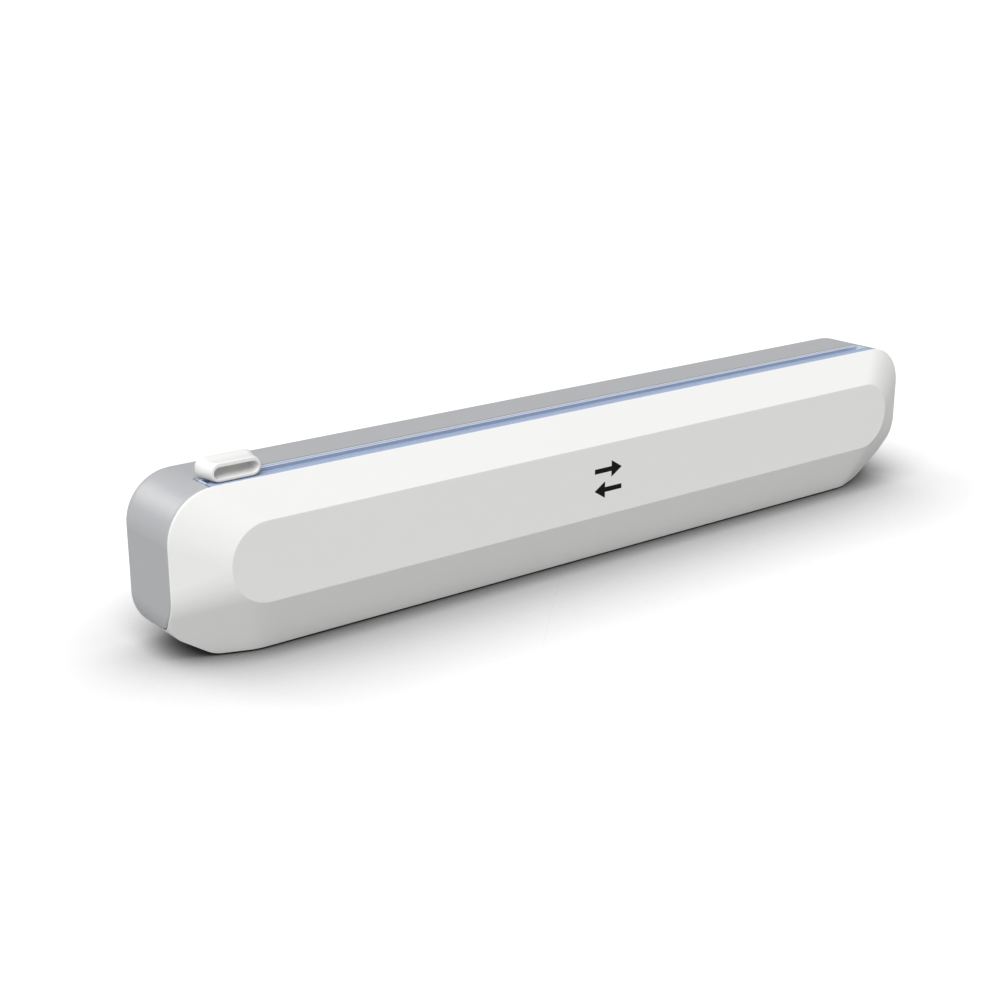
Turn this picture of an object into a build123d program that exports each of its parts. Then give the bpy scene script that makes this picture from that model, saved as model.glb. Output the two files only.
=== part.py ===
"""Cling film dispenser: a two-part case with a film roll, a top track and a sliding cutter.

Millimetres, +Z up, front towards -Y. The origin is the centre of the footprint, on the table.
Depths are counted from the flat front facet towards the rear.
"""
from build123d import *
from math import cos, hypot, radians, sin
import os

os.makedirs("parts", exist_ok=True)

# ---- Roll, which sets the length of everything else ----
film_length = 300.0
film_radius = 18.0
core_overhang = 2.0
core_radius = 14.0
core_wall = 1.5
roll_floor_gap = 2.8
roll_rear_gap = 2.4

# ---- Case ----
end_room = 31.7
case_top = 62.8
case_depth = 46.0
wall = 2.4
top_corner = 18.0
bottom_corner = 14.0
bottom_round = 10.0
corner_low = 12.4
corner_slant = 33.0
rear_round = 8.0
rim_round = 0.6
facet_edge_round = 0.4
seam_edge_round = 1.0
least_round = 1.0
edge_tolerance = 0.02
foot_height = 0.8

# ---- Front facet and the flare around it, as growth in the plane per mm of depth ----
facet_end_drop = 18.2
facet_top_drop = 12.3
facet_low = 21.5
facet_side = 1.0
top_flare = 1.32
end_flare = 1.95
bottom_flare = 2.02
corner_flare = 1.5
flare_reach = 20.0
wide_round_top = 21.0
wide_round_end = 8.0
wide_round_low = 9.0

# ---- Joint line between front shell and rear cover ----
seam_depth = 9.9
seam_height = 11.45
seam_round = 16.0
seam_gap = 0.3

# ---- Track ----
track_end_drop = 17.2
track_width = 11.2
track_height = 6.6
track_play = 0.15
front_rail = 3.8
slot_width = 3.0
groove_width = 4.6
groove_drop = 1.6
chamber_width = 5.2
chamber_height = 2.0
chamber_base = 1.6
rail_line = 0.5
stop_length = 2.6
stop_lip = 0.7
film_slit = 0.5

# ---- Shelf under the track ----
shelf_thick = 2.0
shelf_beyond_track = 3.3
shelf_end_drop = 9.2
shelf_rib = 3.7
shelf_rib_thick = 1.4
shelf_front_skin = 0.6
strip_height = 1.3
strip_width = 2.6
lip_thick = 1.6
lip_film_gap = 0.6

# ---- Slider ----
slide_clear = 0.3
slider_front = 11.0
slider_rear = 20.4
slider_width = 19.0
slider_waist = 17.8
slider_flange = 21.8
slider_height = 6.7
waist_height = 6.0
flange_height = 7.3
waist_forward = 0.7
slider_lip = 1.4
slider_lip_drop = 0.8
recess_width = 16.2
recess_height = 3.7
recess_deep = 6.4
recess_floor = 1.3
foot_length = 15.0
neck_length = 8.0
keel_length = 14.0
blade_thick = 0.4
blade_reach = 9.4
blade_drop = 1.2
blade_slant = 3.0
foot_screw_radius = 0.6
foot_screw_head = 1.2
foot_screw_spacing = 5.0
foot_corner = 1.0
blade_skin = 0.3
keel_skin = 0.1

# ---- Hubs and saddles ----
journal_radius = 4.0
journal_play = 0.05
hub_flange_drop = 1.0
hub_flange = 1.6
hub_plug = 12.0
hub_wall = 2.0
collar_radius = 6.0
collar_thick = 1.8
saddle_thick = 3.4
saddle_width = 18.0
saddle_side_gap = 0.6
saddle_rise = 3.0
boss_radius = 3.2
boss_height = 9.0

# ---- Hinge ----
hinge_spacing = 220.0
barrel_radius = 2.6
barrel_play = 0.35
pin_radius = 1.2
pin_play = 0.05
cover_knuckle = 9.6
shell_knuckle = 7.0
knuckle_gap = 0.2

# ---- Fasteners, magnets, feet, mark ----
track_screw_radius = 0.9
track_screw_head = 1.8
track_screw_spacing = 90.0
track_screw_bite = 3.6
saddle_screw_radius = 1.25
saddle_screw_head = 2.5
saddle_screw_bite = 6.0
screw_head_height = 1.4
magnet_radius = 2.5
magnet_thick = 1.6
magnet_wall = 1.1
magnet_end_drop = 12.5
magnet_depth = 17.0
magnet_gap = 0.5
foot_length_x = 22.0
foot_width = 8.0
foot_spacing_x = 250.0
foot_spacing_y = 18.0
foot_pocket = 0.6
mark_width = 14.0
mark_height = 6.8
mark_gap = 1.2
mark_deep = 0.5
arrow_shaft = 1.0
arrow_head = 5.4

# ---- Places worked out from the sizes above ----
core_length = film_length + 2 * core_overhang
case_length = core_length + 2 * end_room
facet_length = case_length - 2 * facet_end_drop
facet_height = case_top - facet_top_drop - facet_low
facet_centre = facet_low + facet_height / 2
facet_round = (facet_height - facet_side) / 2
track_length = case_length - 2 * track_end_drop
shelf_top = case_top - track_height
shelf_length = case_length - 2 * shelf_end_drop
total_depth = case_depth + barrel_radius
front = -total_depth / 2
rear = front + case_depth
floor_top = foot_height + wall
roll_y = rear - wall - roll_rear_gap - film_radius
roll_height = floor_top + roll_floor_gap + film_radius
hub_flange_radius = film_radius - hub_flange_drop
track_front = seam_depth - seam_gap / 2 + track_play
track_rear = track_front + track_width
track_half = track_length / 2
shelf_rear = track_rear + shelf_beyond_track
slot_depth = track_front + front_rail + chamber_width / 2
slot_y = front + slot_depth
chamber_floor = shelf_top + chamber_base
chamber_top = chamber_floor + chamber_height
groove_floor = case_top - groove_drop
slider_base = case_top + slide_clear
slider_travel = track_length - 2 * stop_length - 2 * slide_clear - foot_length
slider_x = -slider_travel / 2
notch_half = max(track_half, (slider_travel + slider_flange) / 2) + slide_clear
notch_rear = track_rear + film_slit
saddle_x = core_length / 2 + hub_flange + collar_thick + saddle_side_gap + saddle_thick / 2


def at_depth(depth):
    """Upright plane across the case at a depth behind the facet, facing the front."""
    return Plane.XZ.offset(-(front + depth))


def six_sides(half, top, low, slant):
    """Corners of an upright section with its two lower corners cut off at a slant."""
    sine, cosine = sin(radians(corner_slant)), cos(radians(corner_slant))
    right = [(half, top), (half, (sine * half - slant) / cosine), ((slant + cosine * low) / sine, low)]
    return right + [(-x, z) for x, z in reversed(right)]


def slant_of(x, z):
    """How far out a point lies, measured square to the slanted lower corner."""
    return sin(radians(corner_slant)) * x - cos(radians(corner_slant)) * z


def round_section(corners, radii):
    """Outline with rounded corners, from a list of corners that is symmetric left to right."""
    with BuildLine() as line:
        FilletPolyline(*corners, radius=radii + radii[::-1], close=True)
    return line.line


def flare_face(depth, inset):
    """Section of the flare: round at the facet, and squarer the further back it goes."""
    def grown(size, slope):
        return size + slope * depth - inset * hypot(1, slope)

    end_centre = (facet_length - facet_height) / 2
    corners = six_sides(grown(facet_length / 2, end_flare),
                        facet_centre + grown(facet_height / 2, top_flare),
                        facet_centre - grown(facet_height / 2, bottom_flare),
                        grown(slant_of(end_centre, facet_centre) + facet_height / 2, corner_flare))
    share = depth / flare_reach
    radii = [facet_round + (wide - facet_round) * share - inset
             for wide in (wide_round_top, wide_round_end, wide_round_low)]
    with BuildSketch(at_depth(depth)) as section:
        add(round_section(corners, [max(radius, least_round) for radius in radii]))
        make_face()
    return section.sketch.face()


def case_outline(inset):
    """Outline of the case seen from the front, moved in by the inset."""
    corners = six_sides(case_length / 2 - inset, case_top - inset, foot_height + inset,
                        slant_of(case_length / 2, corner_low) - inset)
    return round_section(corners, [top_corner - inset, bottom_corner - inset, bottom_round - inset])


outline_edges = Compound(case_outline(0).edges())


def off_outline(edge):
    """How far an edge strays from the case's outline, seen from the front."""
    spots = [edge.position_at(step / 6) for step in range(7)]
    return max(outline_edges.distance_to(Vertex(spot.X, spot.Z, 0)) for spot in spots)


def case_form(inset):
    """Solid inside the case's outer faces, moved in by the inset."""
    with BuildPart() as flare:
        loft([flare_face(inset, inset), flare_face(flare_reach, inset)], ruled=True)
        extrude(flare_face(flare_reach, inset), amount=-(case_depth - flare_reach))
    with BuildPart() as form:
        with BuildSketch(at_depth(case_depth - inset)):
            add(case_outline(inset))
            make_face()
        extrude(amount=case_depth - 2 * inset)
        fillet(form.faces().sort_by(Axis.Y)[-1].edges(), rear_round - inset)
        add(flare.part, mode=Mode.INTERSECT)
    return form.part


def cover_zone(play):
    """Everything behind and above the joint line, moved back by the play."""
    with BuildPart() as zone:
        with BuildSketch(Plane.YZ) as section:
            with Locations((front + seam_depth + play, seam_height + play)):
                Rectangle(case_depth * 2, case_top * 2, align=(Align.MIN, Align.MIN))
            fillet(section.vertices().group_by(Axis.X)[0].sort_by(Axis.Y)[0], seam_round)
        extrude(amount=case_length, both=True)
    return zone.part


with BuildPart() as case:
    add(case_form(0))
    rim = case.edges().filter_by(lambda edge: off_outline(edge) < edge_tolerance)
    fillet(rim.filter_by(lambda edge: edge.center().Y < front + flare_reach), rim_round)
    facet_edges = case.faces().sort_by(Axis.Y)[0].edges()
    fillet(facet_edges, facet_edge_round)
outer = case.part
inner = case_form(wall)

backing = case_form(wall / 2)


def across(x, y, z, radius, length):
    """Round bar along X, starting at x."""
    with BuildPart() as bar:
        with BuildSketch(Plane.YZ.offset(x)):
            with Locations((y, z)):
                Circle(radius)
        extrude(amount=length)
    return bar.part


def block(x_size, depths, heights):
    """Box centred on X = 0 between two depths and two heights."""
    with BuildPart() as box:
        with Locations((0, front + depths[0], heights[0])):
            Box(x_size, depths[1] - depths[0], heights[1] - heights[0],
                align=(Align.CENTER, Align.MIN, Align.MIN))
    return box.part


def post(x, y, low, high, radius, head=0, head_height=0):
    """Upright round bar, with a cone head at its low end if one is asked for."""
    with BuildPart() as bar:
        with BuildSketch(Plane.XY.offset(low)):
            with Locations((x, y)):
                Circle(radius)
        extrude(amount=high - low)
        if head:
            with Locations((x, y, low)):
                Cone(head, radius, head_height, align=(Align.CENTER, Align.CENTER, Align.MIN))
    return bar.part


def save(piece, name):
    """Name one finished piece and write it."""
    piece.label = name
    export_step(piece, f"parts/{name}.step")


hinge_xs = [-hinge_spacing / 2, hinge_spacing / 2]
shell_knuckle_xs = [hinge_x + side for hinge_x in hinge_xs
                    for side in (-cover_knuckle / 2 - knuckle_gap - shell_knuckle,
                                 cover_knuckle / 2 + knuckle_gap)]
magnet_xs = [way * (case_length / 2 - magnet_end_drop) for way in (-1, 1)]
magnet_y = front + magnet_depth
boss_ys = [roll_y + way * (saddle_width / 2 - boss_radius) for way in (-1, 1)]
saddle_spots = [(side * saddle_x, y) for side in (-1, 1) for y in boss_ys]
track_screw_spots = [(track_screw_spacing * step, front + track_front + front_rail / 2)
                     for step in (-1.5, -0.5, 0.5, 1.5)]

# ---- Front mark: two arrows, one for each way the cutter slides ----
with BuildPart() as front_mark:
    with BuildSketch(at_depth(mark_deep)):
        half, shaft, head = mark_width / 2, arrow_shaft, arrow_head
        for way in (1, -1):
            with Locations((0, facet_centre + way * (mark_height + mark_gap) / 2)):
                Polygon((-way * half, -shaft), (way * (half - head), -shaft),
                        (way * (half - head), -mark_height / 2), (way * half, 0),
                        (way * (half - head), mark_height / 2), (way * (half - head), shaft),
                        (-way * half, shaft))
    extrude(amount=mark_deep)
save(front_mark.part, "front_mark")

# ---- Front shell: front, bottom tray and the shelf under the track ----
shelf_front = (shelf_top - facet_centre - facet_height / 2) / top_flare + shelf_front_skin
with BuildPart() as shelf:
    add(block(shelf_length, (shelf_front, shelf_rear), (shelf_top - shelf_thick, shelf_top)))
    add(block(shelf_length, (shelf_rear - shelf_rib_thick, shelf_rear),
              (shelf_top - shelf_thick - shelf_rib, shelf_top - shelf_thick)))
    add(backing, mode=Mode.INTERSECT)

with BuildPart() as front_shell:
    add(outer)
    add(inner, mode=Mode.SUBTRACT)
    add(cover_zone(-seam_gap / 2), mode=Mode.SUBTRACT)
    add(shelf.part)
    add(front_mark.part, mode=Mode.SUBTRACT)
    for x in hinge_xs:
        add(across(x - cover_knuckle / 2 - knuckle_gap, rear, seam_height,
                   barrel_radius + barrel_play, cover_knuckle + 2 * knuckle_gap), mode=Mode.SUBTRACT)
    for x in shell_knuckle_xs:
        add(across(x, rear, seam_height, barrel_radius, shell_knuckle))
        add(across(x, rear, seam_height, pin_radius + pin_play, shell_knuckle), mode=Mode.SUBTRACT)
    for x, y in track_screw_spots:
        add(post(x, y, shelf_top - shelf_thick, shelf_top, track_screw_radius), mode=Mode.SUBTRACT)
    for x in magnet_xs:
        add(post(x, magnet_y, shelf_top - magnet_thick, shelf_top, magnet_radius), mode=Mode.SUBTRACT)
    for x, y in saddle_spots:
        add(post(x, y, foot_height, floor_top, saddle_screw_radius, saddle_screw_head,
                 screw_head_height), mode=Mode.SUBTRACT)
    with BuildSketch(Plane.XY.offset(foot_height)):
        with GridLocations(foot_spacing_x, foot_spacing_y, 2, 2):
            SlotOverall(foot_length_x, foot_width)
    extrude(amount=foot_pocket, mode=Mode.SUBTRACT)
save(front_shell.part, "front_shell")

# ---- Cover magnets and the bosses that hold them ----
boss_low = shelf_top + magnet_gap
with BuildPart() as bosses:
    for x in magnet_xs:
        add(post(x, magnet_y, boss_low, case_top, magnet_radius + magnet_wall))
    add(backing, mode=Mode.INTERSECT)

with BuildPart() as shell_magnets:
    for x in magnet_xs:
        add(post(x, magnet_y, shelf_top - magnet_thick, shelf_top, magnet_radius))
save(shell_magnets.part, "shell_magnets")

with BuildPart() as cover_magnets:
    for x in magnet_xs:
        add(post(x, magnet_y, boss_low, boss_low + magnet_thick, magnet_radius))
save(cover_magnets.part, "cover_magnets")

# ---- Rear cover: top, back and ends, with a notch for the track ----
with BuildPart() as rear_cover:
    add(outer)
    add(inner, mode=Mode.SUBTRACT)
    add(cover_zone(seam_gap / 2), mode=Mode.INTERSECT)
    seam_face = rear_cover.faces().sort_by(Axis.Y)[0]
    seam_y = seam_face.center().Y
    seam_edges = rear_cover.edges().filter_by(lambda edge: abs(edge.center().Y - seam_y) < edge_tolerance)
    fillet(seam_edges.filter_by(lambda edge: off_outline(edge) < edge_tolerance), seam_edge_round)
    add(block(2 * notch_half, (0, notch_rear), (shelf_top, 2 * case_top)), mode=Mode.SUBTRACT)
    add(block(2 * notch_half + 2 * wall, (notch_rear, notch_rear + lip_thick),
              (shelf_top + strip_height + lip_film_gap, case_top - wall / 2)))
    add(bosses.part)
    add(cover_magnets.part, mode=Mode.SUBTRACT)
    for x in shell_knuckle_xs:
        add(across(x - knuckle_gap, rear, seam_height, barrel_radius + barrel_play,
                   shell_knuckle + 2 * knuckle_gap), mode=Mode.SUBTRACT)
    for x in hinge_xs:
        add(across(x - cover_knuckle / 2, rear, seam_height, barrel_radius, cover_knuckle))
        add(across(x - cover_knuckle / 2, rear, seam_height, pin_radius + pin_play, cover_knuckle),
            mode=Mode.SUBTRACT)
save(rear_cover.part, "rear_cover")

# ---- Hinge pins ----
pin_length = cover_knuckle + 2 * shell_knuckle + 2 * knuckle_gap
with BuildPart() as hinge_pins:
    for x in hinge_xs:
        add(across(x - pin_length / 2, rear, seam_height, pin_radius, pin_length))
save(hinge_pins.part, "hinge_pins")

# ---- Track: a rail with a T-slot, plugged at both ends ----
with BuildSketch(Plane.YZ) as slot_profile:
    with Locations((slot_y, chamber_floor)):
        Rectangle(chamber_width, chamber_height, align=(Align.CENTER, Align.MIN))
    with Locations((slot_y, chamber_top)):
        Rectangle(slot_width, groove_floor - chamber_top, align=(Align.CENTER, Align.MIN))
with BuildSketch(Plane.YZ) as groove_profile:
    with Locations((slot_y, groove_floor)):
        Rectangle(groove_width, groove_drop, align=(Align.CENTER, Align.MIN))

with BuildPart() as cutter_track:
    with BuildSketch(Plane.YZ):
        with Locations((front + track_front, shelf_top)):
            Rectangle(track_width, case_top - shelf_top, align=(Align.MIN, Align.MIN))
        add(slot_profile.sketch_local, mode=Mode.SUBTRACT)
        add(groove_profile.sketch_local, mode=Mode.SUBTRACT)
        line_ys = [front + track_front + front_rail / 3, front + track_front + front_rail * 2 / 3]
        with Locations(*[(y, case_top) for y in line_ys]):
            Rectangle(rail_line, rail_line, rotation=45, mode=Mode.SUBTRACT)
    extrude(amount=track_half, both=True)
    for x, y in track_screw_spots:
        add(post(x, y, shelf_top, shelf_top + track_screw_bite, track_screw_radius), mode=Mode.SUBTRACT)
save(cutter_track.part, "cutter_track")

for side, name in ((-1, "track_stop_left"), (1, "track_stop_right")):
    with BuildPart() as track_stop:
        with BuildSketch(Plane.YZ.offset(side * track_half)):
            add(slot_profile.sketch_local)
        extrude(amount=-side * stop_length)
        with BuildSketch(Plane.YZ.offset(side * track_half)):
            add(groove_profile.sketch_local)
        extrude(amount=-side * stop_lip)
    save(track_stop.part, name)

with BuildPart() as track_screws:
    for x, y in track_screw_spots:
        low = shelf_top - shelf_thick - screw_head_height
        add(post(x, y, low, shelf_top + track_screw_bite, track_screw_radius))
        add(post(x, y, low, low + screw_head_height, track_screw_head))
save(track_screws.part, "track_screws")

# ---- Strip that the film's free end clings to ----
strip_front = (track_rear + shelf_rear) / 2 - strip_width / 2
with BuildPart() as film_grip_strip:
    add(block(core_length, (strip_front, strip_front + strip_width), (shelf_top, shelf_top + strip_height)))
save(film_grip_strip.part, "film_grip_strip")

# ---- Slider: waisted body with a finger recess, keel and neck ----
slider_mid = (slider_front + slider_rear) / 2
sections = [(slider_front, slider_width, slider_height),
            (slider_mid - waist_forward, slider_waist, waist_height),
            (slider_rear - slider_lip, slider_flange, flange_height),
            (slider_rear, slider_flange - 2 * slider_lip_drop, flange_height - slider_lip_drop)]
recess_height_mid = slider_base + recess_floor + recess_height / 2
with BuildPart() as slider_blank:
    for depth, width, height in sections:
        with BuildSketch(at_depth(depth)):
            with Locations((slider_x, slider_base + height / 2)):
                SlotOverall(width, height)
    loft()
    with BuildSketch(at_depth(slider_front)):
        with Locations((slider_x, recess_height_mid)):
            SlotOverall(recess_width, recess_height)
    extrude(amount=-recess_deep, mode=Mode.SUBTRACT)

blade_start = neck_length / 2 + slide_clear
blade_top = slider_base + recess_floor - blade_skin
blade_low = chamber_top + blade_drop / 2
keel_top = slider_base + recess_floor - keel_skin
keel_floor = groove_floor + slide_clear
foot_low = chamber_floor + slide_clear
foot_top = chamber_top - slide_clear
slider_screw_xs = [slider_x + way * foot_screw_spacing / 2 for way in (-1, 1)]
with BuildPart() as cutter_blades:
    for way in (-1, 1):
        with BuildSketch(at_depth(slot_depth + blade_thick / 2)):
            with Locations((slider_x, 0)):
                Polygon((way * blade_start, blade_low), (way * (blade_reach - blade_slant), blade_low),
                        (way * blade_reach, blade_top - blade_drop / 2), (way * blade_reach, blade_top),
                        (way * blade_start, blade_top), align=None)
        extrude(amount=blade_thick)
save(cutter_blades.part, "cutter_blades")

with BuildPart() as foot_screws:
    for x in slider_screw_xs:
        add(post(x, slot_y, foot_low, blade_top, foot_screw_radius, foot_screw_head,
                 foot_screw_head - foot_screw_radius))
save(foot_screws.part, "foot_screws")

with BuildPart() as slider_body:
    add(slider_blank.part)
    with Locations((slider_x, slot_y, keel_floor)):
        Box(keel_length, groove_width - 2 * slide_clear, keel_top - keel_floor,
            align=(Align.CENTER, Align.CENTER, Align.MIN))
    with Locations((slider_x, slot_y, foot_top)):
        Box(neck_length, slot_width - 2 * slide_clear, keel_floor - foot_top,
            align=(Align.CENTER, Align.CENTER, Align.MIN))
    add(cutter_blades.part, mode=Mode.SUBTRACT)
    add(foot_screws.part, mode=Mode.SUBTRACT)
save(slider_body.part, "slider_body")

with BuildPart() as slider_foot:
    with Locations((slider_x, slot_y, foot_low)):
        Box(foot_length, chamber_width - 2 * slide_clear, foot_top - foot_low,
            align=(Align.CENTER, Align.CENTER, Align.MIN))
    fillet(slider_foot.edges().filter_by(Axis.Z), foot_corner)
    add(foot_screws.part, mode=Mode.SUBTRACT)
save(slider_foot.part, "slider_foot")

# ---- Roll: core tube, film and a hub at each end ----
with BuildPart() as core_tube:
    add(across(-core_length / 2, roll_y, roll_height, core_radius, core_length))
    add(across(-core_length / 2, roll_y, roll_height, core_radius - core_wall, core_length),
        mode=Mode.SUBTRACT)
save(core_tube.part, "core_tube")

with BuildPart() as film_roll:
    add(across(-film_length / 2, roll_y, roll_height, film_radius, film_length))
    add(across(-film_length / 2, roll_y, roll_height, core_radius, film_length), mode=Mode.SUBTRACT)
save(film_roll.part, "film_roll")

saddle_in = saddle_x - saddle_thick / 2
saddle_out = saddle_x + saddle_thick / 2
hub_profile = [(core_length / 2 - hub_plug, 0), (core_length / 2 - hub_plug, core_radius - core_wall),
               (core_length / 2, core_radius - core_wall), (core_length / 2, hub_flange_radius),
               (core_length / 2 + hub_flange, hub_flange_radius),
               (core_length / 2 + hub_flange, collar_radius),
               (saddle_in - saddle_side_gap, collar_radius), (saddle_in - saddle_side_gap, journal_radius),
               (saddle_out + saddle_side_gap, journal_radius), (saddle_out + saddle_side_gap, collar_radius),
               (saddle_out + saddle_side_gap + collar_thick, collar_radius),
               (saddle_out + saddle_side_gap + collar_thick, 0)]
for side, name in ((-1, "hub_left"), (1, "hub_right")):
    with BuildPart() as hub:
        with BuildSketch(Plane(origin=(0, roll_y, roll_height), x_dir=(side, 0, 0), z_dir=(0, -side, 0))):
            Polygon(*hub_profile, align=None)
        revolve(axis=Axis((0, roll_y, roll_height), (1, 0, 0)))
        bore_start = min(side * core_length / 2, side * (core_length / 2 - hub_plug))
        add(across(bore_start, roll_y, roll_height, core_radius - core_wall - hub_wall, hub_plug),
            mode=Mode.SUBTRACT)
    save(hub.part, name)

# ---- Saddles: upright plates with an open-topped notch, on two screw bosses ----
for side, name in ((-1, "saddle_left"), (1, "saddle_right")):
    with BuildPart() as saddle:
        with BuildSketch(Plane.YZ.offset(side * saddle_x)):
            with Locations((roll_y, floor_top)):
                Rectangle(saddle_width, roll_height + saddle_rise - floor_top,
                          align=(Align.CENTER, Align.MIN))
            with Locations((roll_y, roll_height)):
                Circle(journal_radius + journal_play, mode=Mode.SUBTRACT)
                Rectangle(2 * (journal_radius + journal_play), 2 * saddle_rise,
                          align=(Align.CENTER, Align.MIN), mode=Mode.SUBTRACT)
        extrude(amount=saddle_thick / 2, both=True)
        for y in boss_ys:
            add(post(side * saddle_x, y, floor_top, floor_top + boss_height, boss_radius))
            add(post(side * saddle_x, y, floor_top, floor_top + saddle_screw_bite, saddle_screw_radius),
                mode=Mode.SUBTRACT)
    save(saddle.part, name)

with BuildPart() as saddle_screws:
    for x, y in saddle_spots:
        add(post(x, y, foot_height, floor_top + saddle_screw_bite, saddle_screw_radius,
                 saddle_screw_head, screw_head_height))
save(saddle_screws.part, "saddle_screws")

# ---- Feet ----
with BuildPart() as feet:
    with BuildSketch():
        with GridLocations(foot_spacing_x, foot_spacing_y, 2, 2):
            SlotOverall(foot_length_x, foot_width)
    extrude(amount=foot_height + foot_pocket)
save(feet.part, "feet")
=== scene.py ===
"""Cling film dispenser: detailed pieces, finishes and a plain studio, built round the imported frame."""

from math import atan2, cos, pi, radians, sin, tan

import bmesh
import bpy
from bpy.props import FloatProperty, FloatVectorProperty, IntProperty, PointerProperty
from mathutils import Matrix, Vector


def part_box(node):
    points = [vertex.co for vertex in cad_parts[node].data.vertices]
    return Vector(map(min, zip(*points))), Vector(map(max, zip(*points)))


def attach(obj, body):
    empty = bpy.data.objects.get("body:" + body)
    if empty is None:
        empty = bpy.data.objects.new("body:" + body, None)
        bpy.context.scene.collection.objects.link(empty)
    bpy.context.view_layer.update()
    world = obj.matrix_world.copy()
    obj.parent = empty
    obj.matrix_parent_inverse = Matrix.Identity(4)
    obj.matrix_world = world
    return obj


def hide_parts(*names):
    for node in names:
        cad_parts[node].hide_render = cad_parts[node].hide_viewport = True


bl_info = {
    "name": "Cling Film Dispenser",
    "version": (1, 0, 0),
    "blender": (4, 5, 0),
    "location": "3D View > Sidebar > Dispenser",
    "description": "Builds the case, track, slide cutter, film roll and a studio for them",
    "category": "Object",
}

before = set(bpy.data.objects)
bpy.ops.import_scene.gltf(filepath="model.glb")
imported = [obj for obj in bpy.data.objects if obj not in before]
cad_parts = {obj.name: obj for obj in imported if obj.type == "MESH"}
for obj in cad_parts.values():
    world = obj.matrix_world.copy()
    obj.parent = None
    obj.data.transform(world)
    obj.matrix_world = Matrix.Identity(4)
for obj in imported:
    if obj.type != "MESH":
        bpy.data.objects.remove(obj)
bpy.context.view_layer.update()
MM = 0.001


# ---------------------------------------------------------------- settings


class CaseSettings(bpy.types.PropertyGroup):
    """Colours and finish of the moulded case."""
    white: FloatVectorProperty(name="White", description="Colour of the front shell and the slide",
                               subtype="COLOR", default=(0.83, 0.828, 0.82))
    grey: FloatVectorProperty(name="Grey", description="Colour of the rear cover",
                              subtype="COLOR", default=(0.43, 0.435, 0.45))
    mark: FloatVectorProperty(name="Mark", description="Colour of the inlaid arrows",
                              subtype="COLOR", default=(0.004, 0.004, 0.0045))
    roughness: FloatProperty(name="Roughness", description="How matt the moulded plastic is",
                             default=0.42, min=0.0, max=1.0, subtype="FACTOR")
    grain: FloatProperty(name="Grain size", description="Size of the moulded surface grain",
                         default=0.00035, min=0.00005, unit="LENGTH")


class TrackSettings(bpy.types.PropertyGroup):
    """Sizes and colours of the rail that the cutter runs on."""
    groove_width: FloatProperty(name="Groove width", description="Width of the groove over the slot",
                                default=4.6 * MM, min=0.001, unit="LENGTH")
    groove_depth: FloatProperty(name="Groove depth", description="Depth of the groove over the slot",
                                default=1.6 * MM, min=0.0001, unit="LENGTH")
    slot_width: FloatProperty(name="Slot width", description="Width of the slot that the neck runs in",
                              default=3.0 * MM, min=0.001, unit="LENGTH")
    chamber_width: FloatProperty(name="Chamber width", description="Width of the room for the runner",
                                 default=5.2 * MM, min=0.001, unit="LENGTH")
    chamber_height: FloatProperty(name="Chamber height", description="Height of the room for the runner",
                                  default=2.0 * MM, min=0.0005, unit="LENGTH")
    chamber_base: FloatProperty(name="Chamber base", description="Thickness of rail under the runner",
                                default=1.6 * MM, min=0.0005, unit="LENGTH")
    line_depth: FloatProperty(name="Line depth", description="Depth of the fine lines in the rail's top",
                              default=0.28 * MM, min=0.0, unit="LENGTH")
    # The groove's blue is painted lighter than the tops' middle blue to offset the shade in the groove, and
    # the light lines are painted highlights along the rail's edges and the groove's edges.
    blue: FloatVectorProperty(name="Blue", description="Colour of the translucent rail",
                              subtype="COLOR", default=(0.40, 0.50, 0.69))
    middling: FloatVectorProperty(name="Middle blue", description="Colour of the rail's two flat tops",
                                  subtype="COLOR", default=(0.37, 0.45, 0.62))
    light: FloatVectorProperty(name="Light lines", description="Colour of the lines along the rail",
                               subtype="COLOR", default=(0.68, 0.73, 0.84))
    pale: FloatVectorProperty(name="Pale blue", description="Colour of the stops and the slide's runner",
                              subtype="COLOR", default=(0.66, 0.76, 0.88))


class SlideSettings(bpy.types.PropertyGroup):
    """Sizes of the slide cutter's body."""
    mouth_width: FloatProperty(name="Mouth width", description="Width across the open front",
                               default=19.0 * MM, min=0.005, unit="LENGTH")
    mouth_height: FloatProperty(name="Mouth height", description="Height of the open front",
                                default=6.7 * MM, min=0.002, unit="LENGTH")
    mouth_wall: FloatProperty(name="Mouth wall", description="Thickness of the rim around the recess",
                              default=1.15 * MM, min=0.0003, unit="LENGTH")
    mouth_roof: FloatProperty(name="Mouth roof", description="Thickness over the recess",
                              default=1.5 * MM, min=0.0003, unit="LENGTH")
    mouth_floor: FloatProperty(name="Mouth floor", description="Thickness under the recess",
                               default=1.1 * MM, min=0.0003, unit="LENGTH")
    recess: FloatProperty(name="Recess depth", description="How deep the finger recess is",
                          default=6.6 * MM, min=0.001, unit="LENGTH")
    scoop: FloatProperty(name="Scoop", description="How far the recess's floor rises towards its end",
                         default=0.72, min=0.0, max=0.8, subtype="FACTOR")
    mouth_round: FloatProperty(name="Mouth rounding", description="Rounding of the rim's outer edge",
                               default=0.5 * MM, min=0.0001, unit="LENGTH")
    dish: FloatProperty(name="Dish", description="How far the top dips between the two ends",
                        default=0.45 * MM, min=0.0, unit="LENGTH")
    tail_width: FloatProperty(name="Tail width", description="Width of the flared rear end",
                              default=21.8 * MM, min=0.005, unit="LENGTH")
    tail_height: FloatProperty(name="Tail height", description="Height of the flared rear end",
                               default=7.2 * MM, min=0.002, unit="LENGTH")
    tail_corner: FloatProperty(name="Tail corners", description="Radius of the flared end's corners",
                               default=3.1 * MM, min=0.0005, unit="LENGTH")
    tail_round: FloatProperty(name="Tail rounding", description="Rounding of the rear edge",
                              default=0.8 * MM, min=0.0001, unit="LENGTH")


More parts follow.
